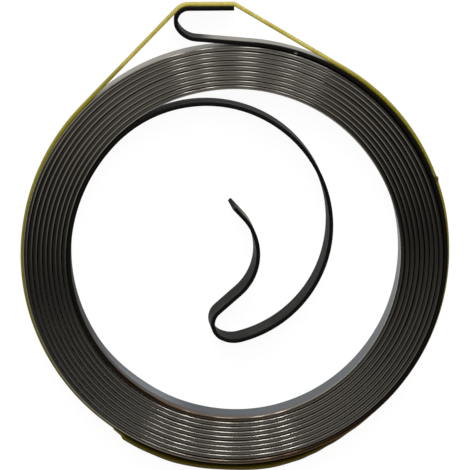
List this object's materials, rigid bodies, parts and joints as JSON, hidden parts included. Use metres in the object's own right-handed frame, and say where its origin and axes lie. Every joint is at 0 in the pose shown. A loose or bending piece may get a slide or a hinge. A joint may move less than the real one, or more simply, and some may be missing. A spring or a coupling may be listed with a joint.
{
  "type": "recoil starter spring",
  "caption": "Flat spiral spring of steel strip, wound tight, with a hooked inner tail and an outer hook, held wound by a stretched rubber band; it rewinds a pull starter.",
  "frame": {"origin": "on the axis of the coil, in the plane of the strip's lower edges", "axes": "+Z along the axis of the coil, up when the spring lies flat; +Y towards the outer hook"},
  "size_m": [0.066, 0.0718, 0.0055],
  "materials": {
    "spring_steel": "rolled strip with bright worn edges, heat-darkened at both ends",
    "band_rubber": "matt, slightly translucent"
  },
  "bodies": {
    "root": {"spring_strip": "spring_steel", "retaining_band": "band_rubber"}
  },
  "joints": []
}
